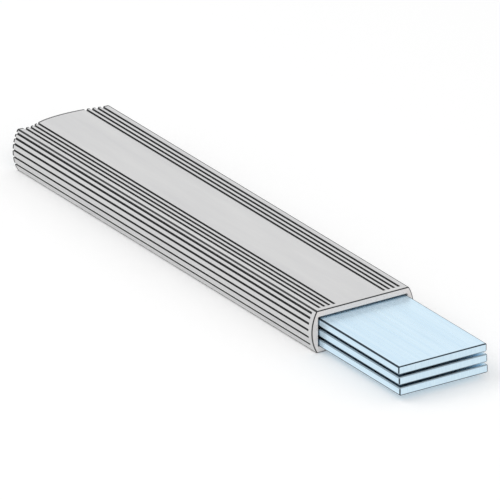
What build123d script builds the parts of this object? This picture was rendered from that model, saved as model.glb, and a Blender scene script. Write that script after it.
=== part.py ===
from build123d import *
from build123d.topology import SkipClean

import os
from math import asin, cos, degrees, sin

# Flexible busbar: flat copper strips in a ribbed insulating sleeve, stripped bare at one end.
# Millimetres. +X runs along the bar towards its bare end, +Y across it and +Z up. The bar lies on
# Z = 0, and the origin is the middle of its footprint, so its far end is at -X.

# Conductor: rolled copper strips, laid flat on each other, with a little free play between them
strip_count = 3
strip_width = 24.0
strip_thickness = 2.0
strip_gap = 0.5
strip_edge_radius = 0.3
strip_tip_chamfer = 0.12
# The top strip's length beyond the sleeve, and how much further out each strip below has slipped
bare_length = 32.5
strip_slip = 0.25

# Sleeve: one extrusion with a rectangular bore, flat above and below, with bulging sides
sleeve_length = 125.0
sleeve_wall = 1.55
side_wall_at_corner = 0.35
side_bulge = 1.4
corner_radius = 0.3
bore_corner_radius = 0.3
bore_play_beside_strips = 0.2
bore_play_above_strips = 0.3

# Ribs: the lands left between round-bottomed grooves, which die out just short of the mouth
groove_depth = 0.5
mouth_lip = 1.4
# On the flat faces the grooves lie in two bands, one beside each corner
band_groove_width = 0.7
band_groove_count = 4
band_first_groove = 1.7
band_pitch = 1.34
# Down each side the grooves spread apart, measured along the bulge from the upper corner
side_groove_width = 0.52
side_groove_count = 6
side_first_pitch = 1.0
side_pitch_growth = 0.19

# Far end: the sleeve is trimmed along a shallow wave, which stands out over the plain band, still
# stands out at that band's two edges, and dips in over the left ribs
wave_crest = 1.65
wave_crest_shift = 1.0
wave_left_shoulder = 0.5
wave_right_shoulder = 1.1
wave_dip = 0.4
# The strips stop this far inside the dip of the wave
strip_setback = 0.4

# Sizes that follow from those above
stack_height = strip_count * strip_thickness + (strip_count - 1) * strip_gap
bore_width = strip_width + 2 * bore_play_beside_strips
bore_height = stack_height + bore_play_above_strips
sleeve_height = bore_height + 2 * sleeve_wall
flat_half = bore_width / 2 + side_wall_at_corner
side_half_height = sleeve_height / 2
side_radius = (side_half_height**2 + side_bulge**2) / (2 * side_bulge)
widest_half = flat_half + side_bulge
plain_half = flat_half - band_first_groove - (band_groove_count - 1) * band_pitch

# Stations along the bar
total_slip = (strip_count - 1) * strip_slip
overall_length = wave_crest + sleeve_length + bare_length + total_slip
mouth_x = overall_length / 2 - total_slip - bare_length
far_x = mouth_x - sleeve_length
strip_far_x = far_x + wave_dip + strip_setback


def along_bar(section, start, end):
    """A YZ section swept straight along X from one station to another."""
    return extrude(Plane.YZ.offset(start) * section, amount=end - start)


def side_point(from_upper_corner):
    """A point on the +Y side's bulge, by its length along the arc, and its outward angle."""
    angle = asin(side_half_height / side_radius) - from_upper_corner / side_radius
    across = widest_half - side_radius + side_radius * cos(angle)
    up = side_half_height + side_radius * sin(angle)
    return across, up, degrees(angle)


def sleeve_outline():
    """The sleeve's outside without its grooves, as a YZ section."""
    outline = [
        Line((-flat_half, 0), (flat_half, 0)),
        ThreePointArc((flat_half, 0), (widest_half, side_half_height), (flat_half, sleeve_height)),
        Line((flat_half, sleeve_height), (-flat_half, sleeve_height)),
        ThreePointArc((-flat_half, sleeve_height), (-widest_half, side_half_height), (-flat_half, 0)),
    ]
    plain = make_face(outline)
    return fillet(plain.vertices(), corner_radius)


def band_groove_places():
    """Where the grooves of the flat faces meet the outside, turned to look outward."""
    places = []
    for i in range(band_groove_count):
        across = flat_half - band_first_groove - i * band_pitch
        for side in (-1, 1):
            places.append(Pos(side * across, sleeve_height) * Rot(0, 0, 90))
            places.append(Pos(side * across, 0) * Rot(0, 0, -90))
    return places


def side_groove_places():
    """The same for the grooves of the bulging sides."""
    places = []
    from_corner = 0
    for i in range(side_groove_count):
        from_corner += side_first_pitch + i * side_pitch_growth
        across, up, angle = side_point(from_corner)
        places.append(Pos(across, up) * Rot(0, 0, angle))
        places.append(Pos(-across, up) * Rot(0, 0, 180 - angle))
    return places


def grooves():
    """All the grooves as one section: slots that straddle the outside, rounded at the bottom."""
    band_slot = SlotOverall(2 * groove_depth, band_groove_width)
    side_slot = SlotOverall(2 * groove_depth, side_groove_width)
    slots = [place * band_slot for place in band_groove_places()]
    slots += [place * side_slot for place in side_groove_places()]
    return Sketch() + slots


def far_end_trim():
    """What the wavy cut takes off the sleeve's far end."""
    beyond = far_x - 2 * wave_crest
    edge = widest_half + corner_radius
    mid_ribs = (plain_half + flat_half) / 2
    wave = Spline(
        (far_x, -edge),
        (far_x, -flat_half),
        (far_x + wave_dip, -mid_ribs),
        (far_x - wave_left_shoulder, -plain_half),
        (far_x - wave_crest, wave_crest_shift),
        (far_x - wave_right_shoulder, plain_half),
        (far_x, flat_half),
        (far_x, edge),
    )
    back = Polyline((far_x, edge), (beyond, edge), (beyond, -edge), (far_x, -edge))
    return extrude(make_face([wave, back]), amount=sleeve_height)


def insulating_sleeve():
    """The extruded sleeve: ribbed outside, rectangular bore, square mouth and wavy far end."""
    bore = Pos(0, sleeve_wall + bore_height / 2) * RectangleRounded(
        bore_width, bore_height, bore_corner_radius
    )
    longest_far_x = far_x - 2 * wave_crest
    body = along_bar(sleeve_outline() - bore, longest_far_x, mouth_x)
    body -= along_bar(grooves(), longest_far_x, mouth_x - mouth_lip)
    return body - far_end_trim()


def copper_strip(place):
    """One strip, counted from the top. Its bare faces are their own, split off at the mouth."""
    underside = sleeve_wall + (strip_count - 1 - place) * (strip_thickness + strip_gap)
    section = Pos(0, underside + strip_thickness / 2) * RectangleRounded(
        strip_width, strip_thickness, strip_edge_radius
    )
    slip = place * strip_slip
    covered = along_bar(section, strip_far_x + slip, mouth_x)
    bare = along_bar(section, mouth_x, mouth_x + bare_length + slip)
    tip = bare.faces().sort_by(Axis.X)[-1]
    bare = chamfer(tip.edges(), strip_tip_chamfer)
    # Cleaning would merge each bare face with the covered one behind it
    with SkipClean():
        return covered + bare


os.makedirs("parts", exist_ok=True)
export_step(insulating_sleeve(), "parts/insulating_sleeve.step")
for place in range(strip_count):
    export_step(copper_strip(place), f"parts/copper_strip_{place + 1}.step")
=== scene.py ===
"""Looks for the flexible busbar: a ribbed grey PVC sleeve over tinned copper strips, in a pale studio.

Metres, in the part's own frame: +X towards the bare end, +Y across the bar, +Z up from the floor.
"""

import math
from collections import namedtuple
from itertools import repeat

import bmesh
import bpy
import numpy as np
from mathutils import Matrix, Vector
from mathutils.geometry import delaunay_2d_cdt

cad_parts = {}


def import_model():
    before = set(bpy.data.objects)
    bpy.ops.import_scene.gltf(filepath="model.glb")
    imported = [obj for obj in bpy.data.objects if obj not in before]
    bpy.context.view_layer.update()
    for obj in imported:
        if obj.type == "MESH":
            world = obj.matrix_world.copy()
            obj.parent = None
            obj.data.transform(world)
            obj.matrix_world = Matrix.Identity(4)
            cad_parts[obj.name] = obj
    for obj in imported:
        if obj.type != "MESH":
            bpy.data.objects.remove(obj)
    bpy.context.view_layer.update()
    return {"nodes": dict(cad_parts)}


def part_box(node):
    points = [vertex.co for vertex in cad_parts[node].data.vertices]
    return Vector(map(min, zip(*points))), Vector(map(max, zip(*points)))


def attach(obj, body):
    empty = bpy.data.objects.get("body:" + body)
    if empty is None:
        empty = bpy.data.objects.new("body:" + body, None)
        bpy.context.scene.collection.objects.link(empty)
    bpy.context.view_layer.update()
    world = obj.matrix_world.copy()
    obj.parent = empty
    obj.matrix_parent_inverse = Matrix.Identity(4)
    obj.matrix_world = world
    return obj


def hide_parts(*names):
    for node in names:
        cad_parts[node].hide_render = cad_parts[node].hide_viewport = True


def srgb(red, green, blue):
    """A colour as a screen shows it, 0 to 255, as the linear colour that a shader takes."""
    def linear(level):
        share = level / 255
        return share / 12.92 if share <= 0.04045 else ((share + 0.055) / 1.055) ** 2.4
    return (linear(red), linear(green), linear(blue), 1.0)


MM = 0.001

# The section of the sleeve, as the part has it
SLEEVE_WALL = 1.55 * MM
SIDE_WALL_AT_CORNER = 0.35 * MM
STRIP_PLAY_BESIDE = 0.2 * MM
CORNER_RADIUS = 0.3 * MM
BORE_RADIUS = 0.3 * MM
MOUTH_LIP = 1.4 * MM

# The grooves, as the part has them, with the small rounding that the die leaves on each rib
GROOVE_DEPTH = 0.5 * MM
GROOVE_EDGE_RADIUS = 0.07 * MM
GROOVE_RUN_OUT = 0.35 * MM
BAND_GROOVE_WIDTH = 0.7 * MM
BAND_GROOVES = 4
BAND_FIRST = 1.7 * MM
BAND_PITCH = 1.34 * MM
SIDE_GROOVE_WIDTH = 0.52 * MM
SIDE_GROOVES = 6
SIDE_FIRST_PITCH = 1.0 * MM
SIDE_PITCH_GROWTH = 0.19 * MM

# The far end's wave lies within this distance of the end of the sleeve
TRIM_REACH = 3.0 * MM

# Small edges that a knife, a shear and a slitter leave
KNIFE_EDGE = 0.1 * MM
STRIP_EDGE_RADIUS = 0.3 * MM
STRIP_TIP_CHAMFER = 0.12 * MM

# How dark the painted shade line along an edge is, where 0 is none and 1 is the painted shade at the bottom
# of a groove: in the open, and where another strip lies close
PAINTED_EDGE_SHADE = 0.2
GAP_EDGE_PAINTED_SHADE = 0.12
# How far the painted edge shade reaches beyond its edge, and how far it then takes to fade
EDGE_SHADE_REACH = 0.08 * MM
FAR_EDGE_SHADE_REACH = 0.4 * MM
EDGE_SHADE_FADE = 0.08 * MM
# A strip's face is a sheared one where it looks along the bar by more than this
SHEARED_SLOPE = 0.5

# How finely the meshes are divided
ACROSS_STEP = 0.5 * MM
ALONG_STEPS = 24
CORNER_STEPS = 6
SHOULDER_STEPS = 3
BOTTOM_STEPS = 8
RUN_OUT_STEPS = 5
# For the triangulation of the ends: keep what lies inside the edges, and join no points
INSIDE_EDGES = 1
MERGE_DISTANCE = 1e-9
SHARP_ANGLE = math.radians(40)

# The marks of each surface: their length along the bar, their width across it and their height,
# and how much fine detail they have
Marks = namedtuple("Marks", "along across up detail")
DIE_WAVES = Marks(30 * MM, 3 * MM, 3 * MM, 3.0)
DIE_LINES = Marks(12 * MM, 0.18 * MM, 0.18 * MM, 2.0)
KNIFE_STROKES = Marks(5 * MM, 0.25 * MM, 0.25 * MM, 2.0)
TIN_CLOUDS = Marks(14 * MM, 5 * MM, 5 * MM, 3.0)
ROLLED_BANDS = Marks(60 * MM, 1.1 * MM, 1.1 * MM, 2.0)
ROLLED_GRAIN = Marks(25 * MM, 0.12 * MM, 0.12 * MM, 3.0)
SHEAR_SCORES = Marks(3 * MM, 0.16 * MM, 1.6 * MM, 3.0)

# How deep those marks are
DIE_WAVE_DEPTH = 0.05 * MM
DIE_LINE_DEPTH = 0.012 * MM
KNIFE_STROKE_DEPTH = 0.02 * MM
TIN_CLOUD_DEPTH = 0.01 * MM
ROLLED_GRAIN_DEPTH = 0.002 * MM
SHEAR_SCORE_DEPTH = 0.004 * MM

# Noise stays near the middle of its scale, so this part of it is drawn out over a whole range
NOISE_MIDDLE = (0.3, 0.7)
# Clouds show only where their noise is high, and only this strongly
CLOUDS_SHOW = (0.55, 0.8)
CLOUD_SHARE = (0.0, 0.35)
# Painted shade this faint, on the rounding of a rib, doesn't show
SHADE_SHOWS = (0.04, PAINTED_EDGE_SHADE)
EDGE_SHADE_SHOWS = (0.0, PAINTED_EDGE_SHADE)

# Colours, each as the two that its marks run between, and the painted shade of the grooves and along the
# edges
PVC_TONES = (srgb(211, 211, 212), srgb(219, 219, 219))
PVC_CUT_TONES = (srgb(236, 229, 226), srgb(242, 236, 233))
PVC_PAINTED_SHADE = srgb(36, 37, 39)
ROLLED_TONES = (srgb(207, 232, 248), srgb(217, 239, 252))
SHEARED_TONES = (srgb(203, 227, 242), srgb(220, 240, 251))
TIN_CLOUD_TONE = srgb(196, 222, 240)
TIN_PAINTED_SHADE = srgb(50, 62, 72)
WHITE = (1.0, 1.0, 1.0, 1.0)

# Gloss, from the smoothest of each surface's marks to the roughest
PVC_ROUGHNESS = (0.36, 0.5)
PVC_CUT_ROUGHNESS = (0.55, 0.7)
ROLLED_ROUGHNESS = (0.24, 0.36)
SHEARED_ROUGHNESS = (0.34, 0.46)
PVC_SPECULAR = 0.4
PVC_CUT_SPECULAR = 0.3

# The photograph's view. The lens and its sensor are in millimetres
VIEW_AZIMUTH = math.radians(56.57)
VIEW_ELEVATION = math.radians(23.71)
VIEW_WIDTH = 114.38 * MM
VIEW_AIM = Vector((0.11, 0.09, 5.44)) * MM
LENS = 1600.0
SENSOR = 36.0

# The studio. The camera sees a paler floor than the light does, and white outside the shadow
FLOOR_SIZE = 4.0
FLOOR_TONE = (0.9, 0.9, 0.9, 1.0)
FLOOR_SHOWN = (1.1, 1.1, 1.1, 1.0)
WORLD_LIGHT = 0.74
LAMP_SIZE = 0.8
KEY_PLACE = (-0.5, -0.7, 0.9)
KEY_POWER = 2.8
FILL_PLACE = (0.9, -0.3, 0.6)
FILL_POWER = 2.0

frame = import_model()

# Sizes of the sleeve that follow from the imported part
sleeve_low, sleeve_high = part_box("insulating_sleeve")
MOUTH_X = sleeve_high.x
HEIGHT = sleeve_high.z - sleeve_low.z
HALF_HEIGHT = HEIGHT / 2
WIDEST_HALF = (sleeve_high.y - sleeve_low.y) / 2
BORE_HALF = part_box("copper_strip_1")[1].y + STRIP_PLAY_BESIDE
FLAT_HALF = BORE_HALF + SIDE_WALL_AT_CORNER

# Each side is an arc, and a small rounding joins it to the flats above and below. The angles are
# the arc's own, from level: up to where the rounding starts, and up to the corner that it replaces
SIDE_BULGE = WIDEST_HALF - FLAT_HALF
SIDE_RADIUS = (HALF_HEIGHT**2 + SIDE_BULGE**2) / (2 * SIDE_BULGE)
SIDE_CENTRE = Vector((WIDEST_HALF - SIDE_RADIUS, HALF_HEIGHT))
TO_CORNER_CENTRE = SIDE_RADIUS - CORNER_RADIUS
CORNER_RISE = HALF_HEIGHT - CORNER_RADIUS
CORNER_Y = SIDE_CENTRE.x + math.sqrt(TO_CORNER_CENTRE**2 - CORNER_RISE**2)
ROUNDING_ANGLE = math.asin(CORNER_RISE / TO_CORNER_CENTRE)
CORNER_ANGLE = math.asin(HALF_HEIGHT / SIDE_RADIUS)

# A point of the sleeve's outside: where it is in a groove and where the groove has run out, which way is
# outward, how deep in the groove it is from 0 to 1, and how dark its painted edge shade is
RimPoint = namedtuple("RimPoint", "grooved plain normal depth rubbed")


def evenly(start, end, steps):
    """The values from start to end in even steps, both included."""
    return [start + (end - start) * i / steps for i in range(steps + 1)]


def smooth_point(place, normal, rubbed=0.0):
    """A point of the sleeve's outside where there is no groove."""
    return RimPoint(place, place, normal, 0.0, rubbed)


def groove_profile(width):
    """One groove from side to side: distance aside, depth, and the distance aside once it has run out."""
    half = width / 2
    walls_end = GROOVE_DEPTH - half
    shoulder = []
    for turn in evenly(0, math.pi / 2, SHOULDER_STEPS):
        aside = half + GROOVE_EDGE_RADIUS * (1 - math.sin(turn))
        shoulder.append((aside, GROOVE_EDGE_RADIUS * (1 - math.cos(turn))))
    bottom = []
    for turn in evenly(0, math.pi, BOTTOM_STEPS):
        bottom.append((-half * math.cos(turn), walls_end + half * math.sin(turn)))
    profile = [(-aside, deep) for aside, deep in shoulder] + bottom + shoulder[::-1]
    reach = half + GROOVE_EDGE_RADIUS
    spread = evenly(-reach, reach, len(profile) - 1)
    return [(aside, deep, place) for (aside, deep), place in zip(profile, spread)]


def stretch(place, length, grooves, width, first_edge_shade, last_edge_shade):
    """Rim points along one stretch of the outline, with grooves at the given distances from its start.

    Place gives the point and the outward direction at a distance along the stretch.
    """
    reach = width / 2 + GROOVE_EDGE_RADIUS
    points = []

    def land(first, last):
        steps = max(1, math.ceil((last - first) / ACROSS_STEP))
        for distance in evenly(first, last, steps)[1:-1]:
            points.append(smooth_point(*place(distance)))

    start = EDGE_SHADE_REACH + EDGE_SHADE_FADE
    # Painted shade lines along the edges at each end of the stretch
    points.append(smooth_point(*place(EDGE_SHADE_REACH), first_edge_shade))
    points.append(smooth_point(*place(start)))
    for middle in grooves:
        land(start, middle - reach)
        inward = -place(middle)[1]
        for aside, deep, spread in groove_profile(width):
            plain, normal = place(middle + spread)
            grooved = place(middle + aside)[0] + inward * deep
            points.append(RimPoint(grooved, plain, normal, deep / GROOVE_DEPTH, 0.0))
        start = middle + reach
    end = length - EDGE_SHADE_REACH - EDGE_SHADE_FADE
    land(start, end)
    points.append(smooth_point(*place(end)))
    points.append(smooth_point(*place(length - EDGE_SHADE_REACH), last_edge_shade))
    return points


def corner(up, from_angle, to_angle):
    """Rim points round a right corner whose middle is this high, clockwise, both ends included."""
    middle = Vector((CORNER_Y, up))
    points = []
    for angle in evenly(from_angle, to_angle, CORNER_STEPS):
        normal = Vector((math.cos(angle), math.sin(angle)))
        # The rounding of each corner carries painted edge shade
        points.append(smooth_point(middle + normal * CORNER_RADIUS, normal, PAINTED_EDGE_SHADE))
    return points


def on_top(across):
    """The point this far from the middle of the sleeve's top, and the outward direction there."""
    return Vector((across, HEIGHT)), Vector((0, 1))


def on_side(down):
    """The same on the right side, this far down the arc from the upper rounding."""
    angle = ROUNDING_ANGLE - down / SIDE_RADIUS
    normal = Vector((math.cos(angle), math.sin(angle)))
    return SIDE_CENTRE + normal * SIDE_RADIUS, normal


def on_bottom(inward):
    """The same on the underside, this far in from the lower rounding."""
    return Vector((CORNER_Y - inward, 0)), Vector((0, -1))


def sleeve_rim():
    """The outside of the sleeve's section, clockwise from the top's middle, as points in Y and Z."""
    on_flats = [FLAT_HALF - BAND_FIRST - i * BAND_PITCH for i in reversed(range(BAND_GROOVES))]
    down_side = []
    # The part counts from the sharp corner, and the arc is used only below its rounding
    from_rounding = (ROUNDING_ANGLE - CORNER_ANGLE) * SIDE_RADIUS
    for i in range(SIDE_GROOVES):
        from_rounding += SIDE_FIRST_PITCH + i * SIDE_PITCH_GROWTH
        down_side.append(from_rounding)
    from_edge = [CORNER_Y - across for across in reversed(on_flats)]
    side_length = 2 * ROUNDING_ANGLE * SIDE_RADIUS

    right = [smooth_point(*on_top(0))]
    # Painted edge shade beside the corners, and none at the middles of the top and bottom
    right += stretch(on_top, CORNER_Y, on_flats, BAND_GROOVE_WIDTH, 0.0, PAINTED_EDGE_SHADE)
    right += corner(HEIGHT - CORNER_RADIUS, math.pi / 2, ROUNDING_ANGLE)
    right += stretch(on_side, side_length, down_side, SIDE_GROOVE_WIDTH, PAINTED_EDGE_SHADE, PAINTED_EDGE_SHADE)
    right += corner(CORNER_RADIUS, -ROUNDING_ANGLE, -math.pi / 2)
    right += stretch(on_bottom, CORNER_Y, from_edge, BAND_GROOVE_WIDTH, PAINTED_EDGE_SHADE, 0.0)
    right.append(smooth_point(*on_bottom(CORNER_Y)))

    def flip(vector):
        return Vector((-vector.x, vector.y))

    left = [
        RimPoint(flip(point.grooved), flip(point.plain), flip(point.normal), point.depth, point.rubbed)
        for point in reversed(right[1:-1])
    ]
    return right + left


def rounded_rectangle(half_width, half_height, middle, radius, wide_stops, tall_stops):
    """A rectangle's outline in Y and Z with round corners, clockwise from the upper left one.

    The stops are further points on its wide and its tall sides, as distances from their middles.
    """
    points = []
    for side in range(4):
        turn = math.pi / 2 * side
        outward = Vector((math.sin(turn), math.cos(turn)))
        onward = Vector((math.cos(turn), -math.sin(turn)))
        if side % 2:
            reach, run, stops = half_width, half_height, tall_stops
        else:
            reach, run, stops = half_height, half_width, wide_stops
        for stop in stops:
            points.append(middle + outward * reach + onward * stop)
        centre = middle + outward * (reach - radius) + onward * (run - radius)
        for angle in evenly(0, math.pi / 2, CORNER_STEPS):
            points.append(centre + (outward * math.cos(angle) + onward * math.sin(angle)) * radius)
    return points


def trimmed_end():
    """The far end's wave, as the part's own mesh has it: distances across the bar, and X at each."""
    corners = [vertex.co for vertex in frame["nodes"]["insulating_sleeve"].data.vertices]
    found = {round(co.y / MM, 3): co.x for co in corners if co.x < sleeve_low.x + TRIM_REACH}
    across = sorted(found)
    return [place * MM for place in across], [found[place] for place in across]


def at_far_end(points):
    """The far end's X at each of these points of the section."""
    return np.interp([point.x for point in points], *trimmed_end()).tolist()


def ring(bm, points, stations, layer=None, shades=()):
    """Vertices at these points of the section, each at its own X, with any shades kept in a layer."""
    made = [bm.verts.new((x, across, up)) for (across, up), x in zip(points, stations)]
    for vertex, dark in zip(made, shades):
        vertex[layer] = dark
    return made


def skin(bm, rings):
    """Joins rings of vertices, each as long as the next, into a tube."""
    for before, after in zip(rings, rings[1:]):
        for i in range(len(before)):
            j = (i + 1) % len(before)
            bm.faces.new((before[i], before[j], after[j], after[i]))


def cap(bm, outer, inner):
    """Closes the ring between an outer and an inner loop, seen along X."""
    loop = [*outer, *inner]
    flat = [Vector((vertex.co.y, vertex.co.z)) for vertex in loop]
    edges = [(i, (i + 1) % len(outer)) for i in range(len(outer))]
    edges += [(len(outer) + i, len(outer) + (i + 1) % len(inner)) for i in range(len(inner))]
    _, _, triangles, originals, _, _ = delaunay_2d_cdt(flat, edges, [], INSIDE_EDGES, MERGE_DISTANCE)
    across_bore = set(inner)
    for triangle in triangles:
        corners = [loop[originals[i][0]] for i in triangle]
        if not across_bore.issuperset(corners):
            bm.faces.new(corners)


def finished(bm, name):
    """The mesh as an object, shaded smooth but for its sharp edges."""
    bmesh.ops.recalc_face_normals(bm, faces=bm.faces)
    mesh = bpy.data.meshes.new(name)
    bm.to_mesh(mesh)
    bm.free()
    mesh.shade_smooth()
    mesh.set_sharp_from_angle(angle=SHARP_ANGLE)
    piece = bpy.data.objects.new(name, mesh)
    bpy.context.scene.collection.objects.link(piece)
    return piece


def inside(rim, inset):
    """The sleeve's smooth outline, drawn in by this much."""
    return [point.plain - point.normal * inset for point in rim]


def outside_rings(bm, rim, shade):
    """The ribbed outside, from the far end's wave to the knife-cut edge of the mouth."""
    grooved = [point.grooved for point in rim]
    rings = []

    def shades(filled=0.0, least=0.0):
        return [max(point.depth * (1 - filled), point.rubbed, least) for point in rim]

    far_end = at_far_end(grooved)
    # A painted shade line along the far end's cut edge, fading along the skin
    for from_cut, rubbed in ((0.0, PAINTED_EDGE_SHADE), (FAR_EDGE_SHADE_REACH, PAINTED_EDGE_SHADE), (FAR_EDGE_SHADE_REACH + EDGE_SHADE_FADE, 0.0)):
        stations = [x + from_cut for x in far_end]
        rings.append(ring(bm, grooved, stations, shade, shades(least=rubbed)))

    run_out_x = MOUTH_X - MOUTH_LIP - GROOVE_RUN_OUT
    for x in evenly(sleeve_low.x + TRIM_REACH, run_out_x, ALONG_STEPS):
        rings.append(ring(bm, grooved, repeat(x), shade, shades()))
    for share in evenly(0, 1, RUN_OUT_STEPS)[1:]:
        filled = 1 - math.sqrt(1 - share**2)
        rising = [point.grooved.lerp(point.plain, filled) for point in rim]
        rings.append(ring(bm, rising, repeat(run_out_x + GROOVE_RUN_OUT * share), shade, shades(filled)))

    # A painted shade line along the skin at the mouth's knife-cut edge
    edge_x = MOUTH_X - KNIFE_EDGE
    rubbed_x = edge_x - EDGE_SHADE_REACH
    for x, rubbed in ((rubbed_x - EDGE_SHADE_FADE, 0.0), (rubbed_x, PAINTED_EDGE_SHADE), (edge_x, PAINTED_EDGE_SHADE)):
        rings.append(ring(bm, inside(rim, 0), repeat(x), shade, shades(1, rubbed)))
    rings.append(ring(bm, inside(rim, KNIFE_EDGE), repeat(MOUTH_X), shade, shades(1, PAINTED_EDGE_SHADE)))
    return rings


def bore_rings(bm):
    """The bore, from the far end's wave to its own knife-cut edge at the mouth."""
    flat_half = BORE_HALF - BORE_RADIUS
    steps = math.ceil(2 * BORE_HALF / ACROSS_STEP)
    stops = evenly(-flat_half, flat_half, steps)[1:-1]
    middle = Vector((0, HALF_HEIGHT))

    def bore(widened):
        half_height = HALF_HEIGHT - SLEEVE_WALL + widened
        return rounded_rectangle(BORE_HALF + widened, half_height, middle, BORE_RADIUS + widened, stops, [])

    plain = bore(0)
    return [
        ring(bm, plain, at_far_end(plain)),
        ring(bm, plain, repeat(sleeve_low.x + TRIM_REACH)),
        ring(bm, plain, repeat(MOUTH_X - KNIFE_EDGE)),
        ring(bm, bore(KNIFE_EDGE), repeat(MOUTH_X)),
    ]


def insulating_sleeve():
    """The sleeve, with rounded ribs that run out before the mouth, knife-cut edges and the wavy far end."""
    bm = bmesh.new()
    shade = bm.verts.layers.float.new("shade")
    cut_shade = bm.verts.layers.float.new("cut_shade")
    rim = sleeve_rim()
    outside = outside_rings(bm, rim, shade)
    bore = bore_rings(bm)
    skin(bm, outside)
    skin(bm, bore)
    extruded = set(bm.faces)

    # A painted shade line along the cut face's outer edge, fading inward
    for vertex in outside[-1]:
        vertex[cut_shade] = PAINTED_EDGE_SHADE
    rubbed = inside(rim, KNIFE_EDGE + EDGE_SHADE_REACH)
    clean = inside(rim, KNIFE_EDGE + EDGE_SHADE_REACH + EDGE_SHADE_FADE)
    face = [
        outside[-1],
        ring(bm, rubbed, repeat(MOUTH_X), cut_shade, repeat(PAINTED_EDGE_SHADE)),
        ring(bm, clean, repeat(MOUTH_X)),
    ]
    skin(bm, face)
    cap(bm, face[-1], bore[-1])
    cap(bm, outside[0], bore[0])
    for each in bm.faces:
        each.material_index = int(each not in extruded)
    return finished(bm, "insulating_sleeve_looks")


def copper_strip(node, bare_above, bare_below):
    """One strip in its place, with slit edges rounded and the sheared tip's corners eased.

    Its edges carry painted shade lines, fainter where another strip lies close above or below.
    """
    low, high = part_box(node)
    half_width, half_height = (high.y - low.y) / 2, (high.z - low.z) / 2
    middle = Vector((0, (low.z + high.z) / 2))
    to_fade = STRIP_EDGE_RADIUS + EDGE_SHADE_FADE
    wide_stops = (to_fade - half_width, half_width - to_fade)
    tall_stops = (to_fade - half_height, half_height - to_fade)
    bm = bmesh.new()
    edge = bm.verts.layers.float.new("edge")
    rings = []

    def outline(inset):
        reach = (half_width - inset, half_height - inset)
        return rounded_rectangle(*reach, middle, STRIP_EDGE_RADIUS - inset, wide_stops, tall_stops)

    # Painted shade along the strip's edges, fainter on faces that another strip lies close to
    def edge_shade_here(point):
        above_middle = point.y - middle.y
        near_face = abs(above_middle) > half_height - STRIP_EDGE_RADIUS - EDGE_SHADE_FADE / 2
        bare = bare_above if above_middle > 0 else bare_below
        return GAP_EDGE_PAINTED_SHADE if near_face and not bare else PAINTED_EDGE_SHADE

    def add(x, inset, shades):
        rings.append(ring(bm, outline(inset), repeat(x), edge, shades))

    sheared = [edge_shade_here(point) for point in outline(0)]
    # Each side of the outline has two points where the painted edge shade along the strip has faded, and
    # then a corner
    on_corner = 4 * ([0, 0] + [1] * (CORNER_STEPS + 1))
    slit = [dark * here for dark, here in zip(sheared, on_corner)]
    clean = repeat(0.0)
    tip_x = high.x - STRIP_TIP_CHAMFER
    add(low.x, STRIP_TIP_CHAMFER, clean)
    for x in evenly(low.x, tip_x - EDGE_SHADE_REACH - EDGE_SHADE_FADE, ALONG_STEPS):
        add(x, 0, slit)
    add(tip_x - EDGE_SHADE_REACH, 0, sheared)
    add(tip_x, 0, sheared)
    add(high.x, STRIP_TIP_CHAMFER, sheared)
    add(high.x, STRIP_TIP_CHAMFER + EDGE_SHADE_REACH, sheared)
    add(high.x, STRIP_TIP_CHAMFER + EDGE_SHADE_REACH + EDGE_SHADE_FADE, clean)
    skin(bm, rings)
    bm.faces.new(rings[0])
    bm.faces.new(reversed(rings[-1]))
    bm.normal_update()
    for face in bm.faces:
        face.material_index = int(abs(face.normal.x) > SHEARED_SLOPE)
    return finished(bm, node + "_looks")


class Shader:
    """A material's node tree, with short ways to add and join its nodes."""

    def __init__(self, name):
        self.material = bpy.data.materials.new(name)
        self.material.use_nodes = True
        self.tree = self.material.node_tree
        self.surface = self.tree.nodes["Principled BSDF"]

    def add(self, kind, settings=None, **inputs):
        """A new node. Settings are its own properties; inputs are values or other nodes' outputs."""
        node = self.tree.nodes.new(kind)
        for key, value in (settings or {}).items():
            setattr(node, key, value)
        for key, value in inputs.items():
            self.join(node.inputs[key.replace("_", " ")], value)
        return node

    def join(self, socket, value):
        """Gives a socket a value, or links it to another node's output."""
        if isinstance(value, bpy.types.NodeSocket):
            self.tree.links.new(value, socket)
        else:
            socket.default_value = value

    def set(self, socket, value):
        """Gives the shader's own socket of this name a value or a link."""
        self.join(self.surface.inputs[socket], value)

    def noise(self, marks):
        """Noise whose features are as long, wide and high as these marks, from 0 to 1."""
        place = self.add("ShaderNodeTexCoord").outputs["Object"]
        scale = (1 / marks.along, 1 / marks.across, 1 / marks.up)
        drawn = self.add("ShaderNodeMapping", Vector=place, Scale=scale).outputs["Vector"]
        return self.add("ShaderNodeTexNoise", Vector=drawn, Scale=1.0, Detail=marks.detail).outputs["Fac"]

    def spread(self, value, shown, to=(0.0, 1.0)):
        """A value mapped from one range to another, and held inside it."""
        node = self.add("ShaderNodeMapRange")
        for socket, number in zip(node.inputs, (value, *shown, *to)):
            self.join(socket, number)
        return node.outputs["Result"]

    def mix(self, share, first, second):
        """Two colours mixed."""
        node = self.add("ShaderNodeMix", {"data_type": "RGBA"})
        colours = [socket for socket in node.inputs if socket.type == "RGBA"]
        self.join(node.inputs[0], share)
        self.join(colours[0], first)
        self.join(colours[1], second)
        return next(socket for socket in node.outputs if socket.type == "RGBA")

    def attribute(self, name):
        """What the mesh keeps under this name at each of its vertices."""
        return self.add("ShaderNodeAttribute", {"attribute_name": name}).outputs["Fac"]

    def bump(self, height, depth, below=None):
        """The surface raised by this height times this depth, over an earlier bump."""
        node = self.add("ShaderNodeBump", Height=height, Distance=depth, Strength=1.0)
        if below is not None:
            self.join(node.inputs["Normal"], below)
        return node.outputs["Normal"]


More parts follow.
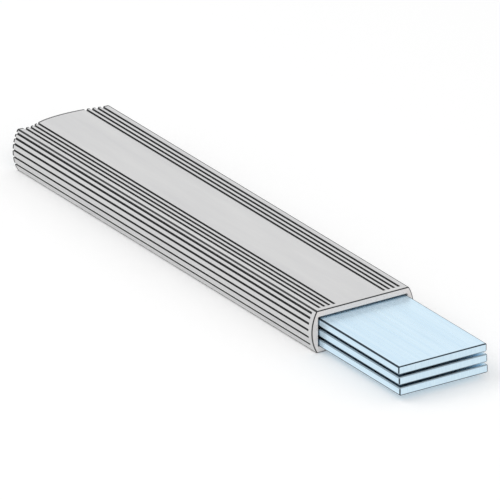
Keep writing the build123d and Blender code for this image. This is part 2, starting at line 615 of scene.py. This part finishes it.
def pvc_skin():
    """Light grey extruded PVC, satin, with the die's fine lines, painted shade in its grooves and painted
    shade lines along its edges.
    """
    shader = Shader("pvc_skin")
    waves = shader.noise(DIE_WAVES)
    lines = shader.noise(DIE_LINES)
    toned = shader.mix(shader.spread(waves, NOISE_MIDDLE), *PVC_TONES)
    # Painted shade in the grooves and along the edges, from the mesh's shade
    dark = shader.spread(shader.attribute("shade"), SHADE_SHOWS)
    shader.set("Base Color", shader.mix(dark, toned, PVC_PAINTED_SHADE))
    shader.set("Roughness", shader.spread(lines, NOISE_MIDDLE, PVC_ROUGHNESS))
    shader.set("Specular IOR Level", PVC_SPECULAR)
    scored = shader.bump(lines, DIE_LINE_DEPTH)
    shader.set("Normal", shader.bump(waves, DIE_WAVE_DEPTH, scored))
    return shader.material


def pvc_cut():
    """The same PVC where a knife has cut it: paler and matt, with the stroke's marks and a painted shade
    line along its outer edge.
    """
    shader = Shader("pvc_cut")
    strokes = shader.noise(KNIFE_STROKES)
    toned = shader.mix(strokes, *PVC_CUT_TONES)
    # Painted shade line along the cut face's outer edge
    dark = shader.spread(shader.attribute("cut_shade"), EDGE_SHADE_SHOWS)
    shader.set("Base Color", shader.mix(dark, toned, PVC_PAINTED_SHADE))
    shader.set("Roughness", shader.spread(strokes, NOISE_MIDDLE, PVC_CUT_ROUGHNESS))
    shader.set("Specular IOR Level", PVC_CUT_SPECULAR)
    shader.set("Normal", shader.bump(strokes, KNIFE_STROKE_DEPTH))
    return shader.material


def tinned_copper():
    """Rolled copper strip, tinned: a cool bright metal with grain along it and painted shade lines along
    its slit edges.
    """
    shader = Shader("tinned_copper")
    clouds = shader.noise(TIN_CLOUDS)
    grain = shader.noise(ROLLED_GRAIN)
    bands = shader.noise(ROLLED_BANDS)
    toned = shader.mix(shader.spread(bands, NOISE_MIDDLE), *ROLLED_TONES)
    toned = shader.mix(shader.spread(clouds, CLOUDS_SHOW, CLOUD_SHARE), toned, TIN_CLOUD_TONE)
    # Painted shade along the strip's edges, from the mesh's edge values
    dark = shader.spread(shader.attribute("edge"), EDGE_SHADE_SHOWS)
    shader.set("Base Color", shader.mix(dark, toned, TIN_PAINTED_SHADE))
    shader.set("Metallic", 1.0)
    shader.set("Roughness", shader.spread(grain, NOISE_MIDDLE, ROLLED_ROUGHNESS))
    grained = shader.bump(grain, ROLLED_GRAIN_DEPTH)
    shader.set("Normal", shader.bump(clouds, TIN_CLOUD_DEPTH, grained))
    return shader.material


def sheared_end():
    """The same strip where a shear has cut it across: short upright scores, a little duller, with painted
    shade lines along its edges.
    """
    shader = Shader("sheared_end")
    scores = shader.noise(SHEAR_SCORES)
    toned = shader.mix(shader.spread(scores, NOISE_MIDDLE), *SHEARED_TONES)
    # Painted shade along the tip's edges, from the mesh's edge values
    dark = shader.spread(shader.attribute("edge"), EDGE_SHADE_SHOWS)
    shader.set("Base Color", shader.mix(dark, toned, TIN_PAINTED_SHADE))
    shader.set("Metallic", 1.0)
    shader.set("Roughness", shader.spread(scores, NOISE_MIDDLE, SHEARED_ROUGHNESS))
    shader.set("Normal", shader.bump(scores, SHEAR_SCORE_DEPTH))
    return shader.material


def any_ray(tree, *kinds):
    """A socket that is 1 for a ray of any of these kinds, and 0 for the others."""
    path = tree.nodes.new("ShaderNodeLightPath")
    found = path.outputs[kinds[0]]
    for kind in kinds[1:]:
        either = tree.nodes.new("ShaderNodeMath")
        either.operation = "MAXIMUM"
        tree.links.new(found, either.inputs[0])
        tree.links.new(path.outputs[kind], either.inputs[1])
        found = either.outputs[0]
    return found


def world():
    """An even pale studio. The camera, metal and glass see it white."""
    made = bpy.data.worlds.new("studio")
    made.use_nodes = True
    tree = made.node_tree
    tree.nodes.clear()
    light, white = [tree.nodes.new("ShaderNodeBackground") for _ in range(2)]
    for background, strength in ((light, WORLD_LIGHT), (white, 1.0)):
        background.inputs["Color"].default_value = WHITE
        background.inputs["Strength"].default_value = strength
    mixed = tree.nodes.new("ShaderNodeMixShader")
    seen = any_ray(tree, "Is Camera Ray", "Is Glossy Ray", "Is Transmission Ray")
    tree.links.new(seen, mixed.inputs["Fac"])
    tree.links.new(light.outputs[0], mixed.inputs[1])
    tree.links.new(white.outputs[0], mixed.inputs[2])
    out = tree.nodes.new("ShaderNodeOutputWorld")
    tree.links.new(mixed.outputs[0], out.inputs["Surface"])
    bpy.context.scene.world = made


def studio_floor():
    """A plain white floor that takes the object's shadow."""
    half = FLOOR_SIZE / 2
    mesh = bpy.data.meshes.new("studio_floor")
    corners = [(-half, -half, 0), (half, -half, 0), (half, half, 0), (-half, half, 0)]
    mesh.from_pydata(corners, [], [(0, 1, 2, 3)])
    floor = bpy.data.objects.new("studio_floor", mesh)
    bpy.context.scene.collection.objects.link(floor)
    shader = Shader("studio_floor")
    tree = shader.tree
    tree.nodes.remove(shader.surface)
    shown = shader.mix(any_ray(tree, "Is Camera Ray"), FLOOR_TONE, FLOOR_SHOWN)
    matt = shader.add("ShaderNodeBsdfDiffuse", Color=shown)
    white = shader.add("ShaderNodeEmission", Strength=1.0)
    mirrored = any_ray(tree, "Is Glossy Ray", "Is Transmission Ray")
    both = shader.add("ShaderNodeMixShader", Fac=mirrored)
    tree.links.new(matt.outputs[0], both.inputs[1])
    tree.links.new(white.outputs[0], both.inputs[2])
    tree.links.new(both.outputs[0], tree.nodes["Material Output"].inputs["Surface"])
    mesh.materials.append(shader.material)


def softbox(name, place, power):
    """A square soft lamp that looks at the object."""
    lamp = bpy.data.lights.new(name, "AREA")
    lamp.size = LAMP_SIZE
    lamp.energy = power
    held = bpy.data.objects.new(name, lamp)
    # Bright metal mirrors the white studio alone, because a lamp in it would burn it out
    held.visible_glossy = False
    held.location = place
    held.rotation_mode = "QUATERNION"
    held.rotation_quaternion = (-Vector(place)).to_track_quat("-Z", "Y")
    bpy.context.scene.collection.objects.link(held)


def camera():
    """The photograph's view, through so long a lens that parallel edges stay parallel."""
    across, up = math.cos(VIEW_ELEVATION), math.sin(VIEW_ELEVATION)
    back = Vector((math.sin(VIEW_AZIMUTH) * across, -math.cos(VIEW_AZIMUTH) * across, up))
    made = bpy.data.cameras.new("camera")
    made.lens = LENS
    made.sensor_width = SENSOR
    distance = LENS / SENSOR * VIEW_WIDTH
    made.clip_end = 2 * distance
    held = bpy.data.objects.new("camera", made)
    held.location = VIEW_AIM + back * distance
    held.rotation_mode = "QUATERNION"
    held.rotation_quaternion = (-back).to_track_quat("-Z", "Y")
    bpy.context.scene.collection.objects.link(held)
    bpy.context.scene.camera = held


def dress():
    """Puts the finished pieces in the places of the plain ones."""
    sleeve = insulating_sleeve()
    sleeve.data.materials.append(pvc_skin())
    sleeve.data.materials.append(pvc_cut())
    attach(sleeve, "root")
    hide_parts("insulating_sleeve")
    rolled, sheared = tinned_copper(), sheared_end()
    nodes = sorted(name for name in frame["nodes"] if name.startswith("copper_strip"))
    for node in nodes:
        strip = copper_strip(node, node == nodes[0], node == nodes[-1])
        strip.data.materials.append(rolled)
        strip.data.materials.append(sheared)
        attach(strip, "root")
        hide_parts(node)


dress()
world()
studio_floor()
softbox("key", KEY_PLACE, KEY_POWER)
softbox("fill", FILL_PLACE, FILL_POWER)
camera()
bpy.context.scene.view_settings.view_transform = "Standard"
